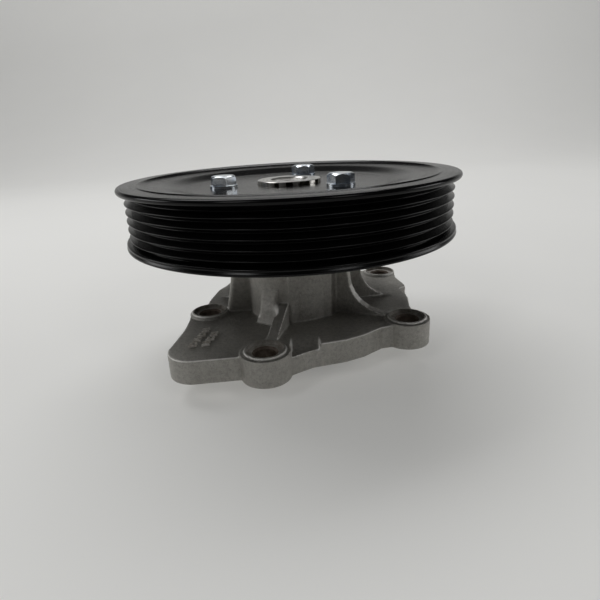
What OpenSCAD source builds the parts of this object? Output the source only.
// Engine water pump with a six-rib belt pulley.
// The pump turns about +Z. Its mounting face lies on z = 0 and the shaft axis passes through the origin.
// The pulley is at the top and the impeller hangs below the mounting face.

/* [Pulley] */
// Outside radius of the front lip
lip_r = 74.15; // [72:0.05:78]
// Height of the front lip above the mounting face
lip_z = 74; // [72:0.5:80]
// Thickness of the rounded front lip
lip_t = 2.4; // [2:0.1:3]
// Number of belt grooves
groove_count = 6; // [4:1:6]
// Spacing of the belt grooves
groove_pitch = 3.56; // [3.5:0.01:3.6]
// Radius over the ridges between the grooves
ridge_r = 71.6; // [70.5:0.1:72]
// Depth of each belt groove
groove_depth = 3.1; // [2.8:0.1:3.3]
// Radius of the rear flange of the pulley
rear_flange_r = 73.25; // [72.5:0.05:74]
// Inner radius of the rim
rim_bore_r = 64.8; // [63:0.1:66]
// Sheet thickness of the web and bowl
web_t = 3; // [2.5:0.1:4]
// Depth of the flat web below the front lip
web_depth = 3.6; // [3:0.1:6]
// Radius of the flat web
web_r = 43; // [40:0.5:46]

/* [Pulley bolts] */
// Radius of the bolt circle
bolt_circle_r = 29.6; // [27:0.1:32]
// Number of pulley bolts
bolt_count = 3; // [3:1:4]
// Turn of the first bolt from +X
bolt_turn = 75.5; // [0:0.5:119]
// Hexagon size across flats
bolt_af = 10; // [8:1:13]
// Head height
bolt_head_h = 4; // [4:0.1:6]
// Thread radius
bolt_r = 3; // [3:0.5:4]
// Thread length under the head
bolt_len = 11; // [10:0.5:13]
// Radius of the washer
washer_r = 6; // [5.5:0.1:8]
// Thickness of the washer
washer_t = 1.1; // [1:0.1:1.6]

/* [Hub] */
// Radius of the nose that centres the pulley
nose_r = 14.2; // [12:0.1:16]
// Top of the nose above the mounting face
nose_z = 72; // [71:0.5:74]
// Radius of the hub flange
hub_flange_r = 37.5; // [35:0.5:40]
// Thickness of the hub flange
hub_flange_t = 6; // [4:0.1:7]
// Bottom of the hub boss above the mounting face
hub_z = 58.3; // [58:0.1:60]

/* [Housing] */
// Outside radius of the bearing column
column_r = 21.7; // [21:0.1:23]
// Top of the bearing column
column_z = 57; // [56:0.5:57]
// Thickness of the flange plate
plate_t = 10.5; // [9:0.1:11]
// Height of the mounting bosses
boss_h = 11.3; // [10.5:0.1:13]
// Radius of the mounting holes
mount_hole_r = 4.5; // [4:0.1:5]
// Radius of the machined seat around each mounting hole
seat_r = 7.6; // [7:0.1:8]
// Radius of the locating spigot
spigot_r = 32.5; // [32:0.1:33]
// Height of the locating spigot
spigot_h = 3; // [2:0.5:4]
// Thickness of the ribs that run up the column
rib_t = 4.2; // [3:0.1:5]
// Radius of the weep hole
weep_r = 2; // [1.5:0.1:2.5]

/* [Bearing] */
// Shaft radius
shaft_r = 7.95; // [7.9:0.01:8]
// Outside radius of the bearing outer ring
ring_r = 15; // [14.5:0.1:16]
// Bore radius of the bearing outer ring
ring_bore_r = 12.4; // [12.39:0.01:12.5]
// Lower end of the bearing outer ring
ring_z = 17.8; // [17.6:0.1:18]
// Length of the bearing outer ring
ring_len = 38.9; // [38:0.1:39]
// Number of balls
ball_count = 8; // [6:1:8]
// Ball radius
ball_r = 2.75; // [2.6:0.05:2.8]
// Number of rollers
roller_count = 10; // [8:1:10]
// Roller radius
roller_r = 2.2; // [2.1:0.01:2.2]
// Roller length
roller_len = 9; // [7:0.5:10]

/* [Shaft seal] */
// Outside radius of the seal case
seal_case_r = 18.25; // [17.5:0.05:18.5]
// Wall thickness of the seal case
seal_case_t = 0.8; // [0.6:0.1:1]
// Upper end of the seal case
seal_case_z = 13.4; // [13:0.1:13.6]
// Turns of the seal spring
spring_turns = 2.5; // [2:0.5:3.5]
// Wire radius of the seal spring
spring_wire_r = 0.6; // [0.5:0.1:0.8]

/* [Impeller] */
// Outside radius of the impeller
impeller_r = 28; // [26:0.5:29.5]
// Number of vanes
vane_count = 7; // [5:1:8]
// Thickness of a vane
vane_t = 2; // [1.5:0.1:2.5]
// Lowest point of the vanes
impeller_z = -9.5; // [-10:0.1:-9]

/* [Hidden] */
$fn = 96;
fit_gap = 0.02;
run_gap = 0.05;

web_z = lip_z - web_depth;
web_under_z = web_z - web_t;
lip_edge_r = lip_t / 2;
crease_r = 66.5;
bowl_r = 58.5;
bowl_z = lip_z - 1.2;
first_ridge_z = lip_z - 6.28;
root_r = ridge_r - groove_depth;
root_half = 0.25;
crest_edge = 0.4;
rear_z = lip_z - 25.3;
fold_t = 0.7;
pilot_r = nose_r + fit_gap;
bolt_hole_r = bolt_r + 0.3;
head_z = web_z + washer_t;
// Turn of each bolt head against the bolt circle
HEAD_TURNS = [-16, -28, -13, 0];

ring_top = ring_z + ring_len;
pitch_r = shaft_r + roller_r + fit_gap;
ball_z = ring_z + 8;
roller_z = ring_top - 10.5;
ball_groove_r = ball_r + fit_gap;
cage_gap = 0.1;
bearing_seal_t = 1.8;
bearing_seal_inset = 0.6;

notch_z = 8;
notch_x = 9;
o_ring_r = 34.9;
o_ring_wire_r = 1.2;
o_ring_groove = 1.3;

pad_turn = -70;
pad_face = 20.3;
toe_turn = 237;

weep_z = 15.6;
weep_turn = 100;
weep_chamber_r = 13;
seal_flange_r = 20;
seal_flange_z = 4.2;
carbon_z = 2.9;
mating_top = carbon_z - run_gap;
mating_z = -0.4;
mating_r = 14;
cup_z = mating_z - 1.1;
bellows_r = 11.8;
spring_r = 14.6;
spring_z0 = seal_flange_z + 1.4;
spring_z1 = seal_case_z - seal_case_t - spring_wire_r - 0.1;

back_plate_t = 2.2;
back_plate_z = -4;
bush_r = 10.4;
bush_flange_z = -6.6;
bush_flange_t = 1.4;
impeller_hub_r = 13.4;
vane_centre = 14;
vane_curve_r = 17;

// Mounting bosses: x, y and outside radius
BOSSES = [
    [-13.2, -49.7, 10.2],
    [49.6, -24.1, 10.1],
    [-42.1, -4.2, 9.5],
    [50.2, 45, 8.7],
    [-14, 52, 9.2]
];
// Flange lobes that carry no hole: x, y and radius
LOBES = [[-42.3, -42.3, 11.4], [-31, 38, 8]];
// Straight runs of the flange edge, anticlockwise from the front left lobe
FLANGE_EDGE = [
    [-53.6, -42], [-42.4, -53.7], [-22, -52.2], [-8, -54], [0, -48.9], [6, -45.4], [13, -43.7],
    [20, -42], [28, -38.3], [37, -31.5], [46, -30], [55, -17], [55, -8], [56.8, 2], [57.2, 8],
    [56.2, 14.5], [55.4, 24], [57.8, 36], [58.4, 42], [47, 53], [30, 51], [5, 57], [-18, 60.4],
    [-36.5, 44], [-42.8, 30], [-45, 16], [-46, 4], [-51, -8], [-51.2, -24]
];

// ---------- helpers ----------

// A plain ring standing on z0
module ring(outer_r, inner_r, z0, z1) {
    translate([0, 0, z0])
        difference() {
            cylinder(r = outer_r, h = z1 - z0);
            translate([0, 0, -1])
                cylinder(r = inner_r, h = z1 - z0 + 2);
        }
}

// Copies its children round the axis
module around(count, start = 0) {
    for (i = [0 : count - 1])
        rotate([0, 0, start + i * 360 / count])
            children();
}

// A bar of the section wire_r bent into a helix
module coil(r, wire_r, z0, z1, turns) {
    steps = ceil(turns * 28);
    sides = 10;
    points = [
        for (i = [0 : steps])
            for (j = [0 : sides - 1])
                let (a = 360 * turns * i / steps, b = 360 * j / sides)
                [(r + wire_r * cos(b)) * cos(a), (r + wire_r * cos(b)) * sin(a),
                 z0 + (z1 - z0) * i / steps + wire_r * sin(b)]
    ];
    sides_faces = [
        for (i = [0 : steps - 1])
            for (j = [0 : sides - 1])
                let (k = (j + 1) % sides)
                [i * sides + j, (i + 1) * sides + j, (i + 1) * sides + k, i * sides + k]
    ];
    first_cap = [for (j = [0 : sides - 1]) j];
    last_cap = [for (j = [sides - 1 : -1 : 0]) steps * sides + j];
    polyhedron(points, concat(sides_faces, [first_cap, last_cap]));
}

// ---------- housing ----------

module flange_outline() {
    polygon(FLANGE_EDGE);
    for (lobe = LOBES)
        translate([lobe[0], lobe[1]])
            circle(r = lobe[2]);
}

// Upright rib along the direction turn, with the side outline given as radius and height
module rib(turn, thickness, outline, shift = 0) {
    rotate([0, 0, turn])
        translate([0, thickness / 2 + shift, 0])
            rotate([90, 0, 0])
                linear_extrude(thickness)
                    polygon(concat([[column_r - 3, plate_t - 1]], outline));
}

// Outline of a rib that runs up the column and sweeps out to foot_r, with its end end_h above the plate
function swept_rib(top_r, waist_r, foot_r, end_h, waist_z, top_z) = concat(
    [[foot_r, plate_t - 1], [foot_r, plate_t + end_h]],
    [for (a = [15 : 15 : 75])
        [foot_r - (foot_r - waist_r) * sin(a), waist_z - (waist_z - plate_t - end_h) * cos(a)]],
    [[waist_r, waist_z], [top_r, top_z], [column_r - 3, top_z]]
);

module ribs() {
    left_nose_r = 2.2;
    // stiff rib towards the front boss
    rib(254.9, 4.8, [[44, plate_t - 1], [42.6, plate_t + 0.6], [column_r, 20], [column_r - 3, 20]]);
    // ribs up the column
    rib(184, 2 * left_nose_r, [[32, plate_t - 1], [31.8, plate_t], [23.8, 50], [column_r - 3, 50]]);
    // the left rib ends in a full round
    rotate([0, 0, 184])
        translate([31.8, 0, plate_t])
            rotate([0, -atan(8 / (50 - plate_t)), 0])
                translate([0, 0, -2])
                    cylinder(r = left_nose_r, h = 42);
    rib(-26, rib_t, swept_rib(24, 27.8, 46, 1.4, 28, 50), 0.8);
    rib(8.5, rib_t, swept_rib(26, 33.3, 50, 0.5, 28, 50), 2.4);
    rib(153, rib_t, swept_rib(25, 29, 43, 0.6, 26, 50));
    rib(62, rib_t, swept_rib(25, 29, 50, 0.6, 26, 50));
    rib(106, rib_t, swept_rib(24.5, 28, 46, 0.6, 26, 50));
}

module column() {
    pad_width = 20.6;
    toe_width = 9.4;
    // the front right side is flattened into a square pad
    difference() {
        translate([0, 0, plate_t - 1])
            cylinder(r = column_r, h = column_z - plate_t + 1);
        rotate([0, 0, pad_turn])
            translate([pad_face, -column_r, 0])
                cube([column_r, 2 * column_r, 54]);
    }
    rotate([0, 0, pad_turn])
        translate([pad_face - 6, -pad_width / 2, plate_t - 1])
            cube([6, pad_width, 54 - plate_t + 1]);
    // sloping toe beside the front rib
    rotate([0, 0, toe_turn])
        translate([column_r - 3, toe_width / 2, plate_t - 1])
            rotate([90, 0, 0])
                linear_extrude(toe_width)
                    polygon([[0, 0], [7.8, 0], [7.6, 1.4], [2.9, 17], [0, 17]]);
}

// Thin ear that stands out of the right edge between its lobe and the rear boss
module ear() {
    translate([0, 0, plate_t - 3])
        linear_extrude(3)
            polygon([[50, 15], [57.4, 18.6], [59, 19.4], [59.9, 21], [60, 23], [59.6, 26.4], [58.8, 31],
                [58, 37], [50, 37]]);
}

module casting() {
    linear_extrude(plate_t)
        flange_outline();
    ear();
    for (boss = BOSSES)
        translate([boss[0], boss[1], 0])
            cylinder(r = boss[2], h = boss_h);
    column();
    ribs();
    translate([0, 0, -spigot_h])
        cylinder(r = spigot_r, h = spigot_h + 1);
    // two rows of raised casting pips on the front left lobe
    for (row = [0, 1], i = [0 : 3])
        translate([-44.4 + 3.6 * row + 1.6 * i, -39.8 + 3 * i - 1.4 * row, plate_t - 1])
            cylinder(r = 0.9, h = 1.4);
}

module mounting_hole(boss) {
    translate([boss[0], boss[1], -1])
        cylinder(r = mount_hole_r, h = boss_h + 2);
    translate([boss[0], boss[1], boss_h - 0.7])
        cylinder(r = seat_r, h = 2);
    translate([boss[0], boss[1], boss_h - 1.5])
        cylinder(r1 = mount_hole_r, r2 = mount_hole_r + 0.82, h = 0.82);
}

module housing() {
    color("#8d8b86")
    difference() {
        casting();
        for (boss = BOSSES)
            mounting_hole(boss);
        // stretch of the front edge that slopes down to notch_z
        translate([notch_x, -45, notch_z])
            rotate([90, 0, -90])
                linear_extrude(notch_x + 3)
                    polygon([[-11, 4], [-11, plate_t - notch_z], [0, 0], [12, 0], [12, 4]]);
        // bearing bore
        translate([0, 0, ring_z - 0.3])
            cylinder(r = ring_r, h = column_z);
        // chamber between bearing and seal, with its drain
        translate([0, 0, seal_case_z])
            cylinder(r = weep_chamber_r, h = ring_z - seal_case_z);
        rotate([0, 0, weep_turn])
            translate([weep_chamber_r - 3, 0, weep_z])
                rotate([0, 90, 0])
                    cylinder(r = weep_r, h = 20);
        // seal bore and the recess for its flange
        translate([0, 0, -spigot_h - 1])
            cylinder(r = seal_case_r, h = seal_case_z + spigot_h + 1);
        translate([0, 0, -spigot_h - 1])
            cylinder(r = seal_flange_r + 0.3, h = seal_flange_z + spigot_h + 1);
        // pocket that clears the impeller
        translate([0, 0, -spigot_h - 1])
            cylinder(r = impeller_r + 2, h = spigot_h + 1);
        // O-ring groove in the mounting face, round the spigot
        ring(o_ring_r + o_ring_groove, o_ring_r - o_ring_groove, -0.5, 2);
    }
}

module housing_o_ring() {
    color("#1b1b1b")
    rotate_extrude()
        translate([o_ring_r, 0.8])
            circle(r = o_ring_wire_r, $fn = 24);
}

// ---------- bearing ----------

module bearing_outer_ring() {
    color("#b9bdc2")
    difference() {
        ring(ring_r, ring_bore_r, ring_z, ring_top);
        translate([0, 0, ball_z])
            rotate_extrude()
                translate([pitch_r, 0])
                    circle(r = ball_groove_r, $fn = 48);
    }
}

module bearing_rollers() {
    color("#d5d8db")
    around(roller_count)
        translate([pitch_r, 0, roller_z - roller_len / 2])
            cylinder(r = roller_r, h = roller_len, $fn = 32);
}

module roller_cage() {
    color("#6f5b3a")
    difference() {
        ring(pitch_r + 1.1, pitch_r - 1.1, roller_z - roller_len / 2 - 1.5, roller_z + roller_len / 2 + 1.5);
        around(roller_count)
            translate([pitch_r, 0, roller_z - roller_len / 2 - cage_gap])
                cylinder(r = roller_r + cage_gap, h = roller_len + 2 * cage_gap, $fn = 32);
    }
}

module bearing_balls() {
    color("#d5d8db")
    around(ball_count)
        translate([pitch_r, 0, ball_z])
            sphere(r = ball_r, $fn = 32);
}

module ball_cage() {
    color("#6f5b3a")
    difference() {
        ring(pitch_r + 1.3, pitch_r - 1.3, ball_z - 1.6, ball_z + 4);
        around(ball_count)
            translate([pitch_r, 0, ball_z])
                sphere(r = ball_r + cage_gap, $fn = 32);
    }
}

// Lip seal pressed into the end of the outer ring
module bearing_seal(z0) {
    color("#2a2a2c")
    ring(ring_bore_r, shaft_r + run_gap, z0, z0 + bearing_seal_t);
}

module bearing_seal_front() {
    bearing_seal(ring_top - bearing_seal_inset - bearing_seal_t);
}

module bearing_seal_rear() {
    bearing_seal(ring_z + bearing_seal_inset);
}

// ---------- shaft ----------

module pump_shaft() {
    shaft_top = nose_z - 0.9;
    shaft_end = impeller_z + 0.4;
    chamfer = 0.8;
    color("#b9bdc2")
    difference() {
        union() {
            translate([0, 0, shaft_end + chamfer])
                cylinder(r = shaft_r, h = shaft_top - shaft_end - 2 * chamfer);
            translate([0, 0, shaft_top - chamfer])
                cylinder(r1 = shaft_r, r2 = shaft_r - chamfer, h = chamfer);
            translate([0, 0, shaft_end])
                cylinder(r1 = shaft_r - chamfer, r2 = shaft_r, h = chamfer);
        }
        translate([0, 0, ball_z])
            rotate_extrude()
                translate([pitch_r, 0])
                    circle(r = ball_groove_r, $fn = 48);
        // turning centre in the front end
        translate([0, 0, shaft_top - 2.4])
            cylinder(r1 = 0.4, r2 = 2.2, h = 2.41);
    }
}

module shaft_slinger() {
    color("#9aa0a6")
    union() {
        ring(11.2, shaft_r, ring_z - 1.7, ring_z - 0.9);
        ring(9.2, shaft_r, ring_z - 3.2, ring_z - 1.7);
    }
}

// ---------- shaft seal ----------

module seal_case() {
    top = seal_case_z;
    color("#c2a34d")
    union() {
        ring(seal_case_r, seal_case_r - seal_case_t, seal_flange_z - seal_case_t, top);
        ring(seal_flange_r, seal_case_r - seal_case_t, seal_flange_z - seal_case_t, seal_flange_z);
        ring(seal_case_r, shaft_r + 1, top - seal_case_t, top);
    }
}

module seal_bellows() {
    top = seal_case_z - seal_case_t;
    color("#1d1d1d")
    difference() {
        union() {
            ring(13.4, 9.4, top - 1.6, top);
            ring(bellows_r, 9.4, seal_flange_z + 0.6, top - 1);
            ring(13.2, 9.4, seal_flange_z + 0.6, seal_flange_z + 1.8);
        }
        // the fold of the bellows
        ring(bellows_r + 1, bellows_r - 1, 7.4, 9.2);
    }
}

module seal_spring() {
    color("#b9bdc2")
    coil(spring_r, spring_wire_r, spring_z0, spring_z1, spring_turns);
}

module carbon_ring() {
    color("#3a3b3d")
    union() {
        ring(13.4, 9.6, carbon_z + 0.9, seal_flange_z + 0.6);
        ring(12.2, 10.2, carbon_z, carbon_z + 0.9);
    }
}

module mating_ring() {
    color("#e4e2da")
    ring(mating_r, 9.6, mating_z, mating_top);
}

module mating_ring_cup() {
    color("#1d1d1d")
    union() {
        ring(9.6, shaft_r, cup_z, mating_top - 0.6);
        ring(mating_r, shaft_r, cup_z, mating_z);
    }
}

// ---------- impeller ----------

module impeller_bush() {
    color("#b08d3c")
    union() {
        ring(bush_r, shaft_r, impeller_z + 0.4, cup_z);
        ring(bush_r + 0.8, shaft_r, bush_flange_z, bush_flange_z + bush_flange_t);
    }
}

// Outline of one swept-back vane
module vane() {
    intersection() {
        translate([vane_centre, 0])
            difference() {
                circle(r = vane_curve_r + vane_t / 2);
                circle(r = vane_curve_r - vane_t / 2);
            }
        difference() {
            circle(r = impeller_r - 0.4);
            circle(r = impeller_hub_r - 0.6);
        }
        translate([-impeller_r, 1])
            square([2 * impeller_r, impeller_r]);
    }
}

module impeller() {
    color("#3b3a37")
    difference() {
        union() {
            translate([0, 0, back_plate_z])
                cylinder(r = impeller_r, h = back_plate_t);
            translate([0, 0, impeller_z + 1.2])
                cylinder(r = impeller_hub_r, h = cup_z - impeller_z - 1.2);
            around(vane_count)
                translate([0, 0, impeller_z])
                    linear_extrude(back_plate_z - impeller_z + 1)
                        vane();
        }
        translate([0, 0, impeller_z - 1])
            cylinder(r = bush_r, h = 12);
        // groove that locks the moulding to its bush
        translate([0, 0, bush_flange_z])
            cylinder(r = bush_r + 0.8, h = bush_flange_t);
        // pressure relief holes
        around(3, 20)
            translate([16.4, 0, back_plate_z - 1])
                cylinder(r = 1.8, h = 5);
    }
}

// ---------- hub and pulley ----------

module pulley_hub() {
    chamfer = 0.7;
    color("#a9adb1")
    difference() {
        union() {
            translate([0, 0, web_under_z - hub_flange_t])
                cylinder(r = hub_flange_r, h = hub_flange_t);
            translate([0, 0, hub_z])
                cylinder(r = nose_r, h = nose_z - hub_z - chamfer);
            translate([0, 0, nose_z - chamfer])
                cylinder(r1 = nose_r, r2 = nose_r - chamfer, h = chamfer);
        }
        translate([0, 0, hub_z - 1])
            cylinder(r = shaft_r, h = nose_z);
        translate([0, 0, nose_z - 0.6])
            cylinder(r1 = shaft_r, r2 = shaft_r + 0.6, h = 0.61);
        around(bolt_count, bolt_turn)
            translate([bolt_circle_r, 0, web_under_z - hub_flange_t - 1])
                cylinder(r = bolt_r, h = hub_flange_t + 2);
    }
}

// Smooth step from 0 to 1 between a and b
function ease(x, a, b) = (1 - cos(180 * min(1, max(0, (x - a) / (b - a))))) / 2;

// Height of the front surface of the bowl at radius r
function bowl_height(r) = web_z + (bowl_z - web_z) * ease(r, web_r, bowl_r)
    + 0.7 * max(0, r - bowl_r) / (crease_r - bowl_r);

// Section of one ridge between two grooves, crest outwards
module ridge_section() {
    half = groove_pitch / 2 - root_half;
    polygon([
        [root_r - 1, -half], [root_r, -half], [ridge_r - crest_edge, -crest_edge],
        [ridge_r - crest_edge, crest_edge], [root_r, half], [root_r - 1, half]
    ]);
    translate([ridge_r - crest_edge, 0])
        circle(r = crest_edge, $fn = 24);
}

module rim_section() {
    top_root_z = first_ridge_z + groove_pitch - groove_pitch / 2 + root_half;
    last_ridge_z = first_ridge_z - (groove_count - 2) * groove_pitch;
    low_root_z = last_ridge_z - groove_pitch / 2 - root_half;
    translate([rim_bore_r, rear_z + fold_t])
        square([root_r - rim_bore_r, lip_z - 2 - rear_z - fold_t]);
    for (i = [0 : groove_count - 2])
        translate([0, first_ridge_z - i * groove_pitch])
            ridge_section();
    // front lip
    polygon([
        [root_r - 1, top_root_z], [root_r, top_root_z], [lip_r - 0.5, lip_z - lip_t - 0.1],
        [lip_r - lip_edge_r, lip_z], [crease_r, lip_z], [crease_r - 0.7, lip_z - 2.2],
        [rim_bore_r, lip_z - 2.2], [rim_bore_r, top_root_z]
    ]);
    translate([lip_r - lip_edge_r, lip_z - lip_edge_r])
        circle(r = lip_edge_r, $fn = 32);
    // rear flange, folded back under itself
    polygon([
        [root_r - 1, rear_z], [rear_flange_r - 1.2, rear_z], [rear_flange_r - 0.7, rear_z + fold_t],
        [rear_flange_r - 0.7, rear_z + 2 * fold_t], [root_r, low_root_z], [root_r - 1, low_root_z]
    ]);
    translate([rear_flange_r - fold_t, rear_z + 1.45])
        circle(r = fold_t, $fn = 24);
    translate([rear_flange_r - fold_t - 0.6, rear_z + fold_t / 2])
        circle(r = fold_t / 2, $fn = 24);
}

module bowl_section() {
    radii = [pilot_r, 36, web_r, 45, 47, 49, 51, 53, 55, 57, bowl_r, 62, crease_r - 0.1];
    last = len(radii) - 1;
    polygon(concat(
        [for (r = radii) [r, bowl_height(r)]],
        [for (i = [last : -1 : 0]) [radii[i], bowl_height(radii[i]) - web_t]]
    ));
}

module pulley() {
    color("#17181a")
    difference() {
        union() {
            rotate_extrude($fn = 180)
                rim_section();
            rotate_extrude($fn = 180)
                bowl_section();
        }
        around(bolt_count, bolt_turn)
            translate([bolt_circle_r, 0, web_under_z - 1])
                cylinder(r = bolt_hole_r, h = web_t + 2);
    }
}

module pulley_washers() {
    color("#aeb9c6")
    around(bolt_count, bolt_turn)
        translate([bolt_circle_r, 0, 0])
            ring(washer_r, bolt_r + 0.2, web_z, web_z + washer_t);
}

module bolt() {
    corner_r = bolt_af / sqrt(3);
    intersection() {
        translate([0, 0, head_z])
            cylinder(r = corner_r, h = bolt_head_h, $fn = 6);
        // chamfer on the corners of the head
        union() {
            translate([0, 0, head_z - 1])
                cylinder(r = corner_r + 0.1, h = bolt_head_h + 0.1);
            translate([0, 0, head_z + bolt_head_h - 0.9])
                cylinder(r1 = corner_r + 0.1, r2 = bolt_af / 2 - 0.4, h = 0.9);
        }
    }
    translate([0, 0, head_z - bolt_len])
        cylinder(r = bolt_r, h = bolt_len + 1);
}

module pulley_bolts() {
    color("#b4c0d2")
    for (i = [0 : bolt_count - 1])
        rotate([0, 0, bolt_turn + i * 360 / bolt_count])
            translate([bolt_circle_r, 0, 0])
                rotate([0, 0, HEAD_TURNS[i]])
                    bolt();
}

housing();
housing_o_ring();
bearing_outer_ring();
bearing_rollers();
roller_cage();
bearing_balls();
ball_cage();
bearing_seal_front();
bearing_seal_rear();
pump_shaft();
shaft_slinger();
seal_case();
seal_bellows();
seal_spring();
carbon_ring();
mating_ring();
mating_ring_cup();
impeller_bush();
impeller();
pulley_hub();
pulley();
pulley_washers();
pulley_bolts();
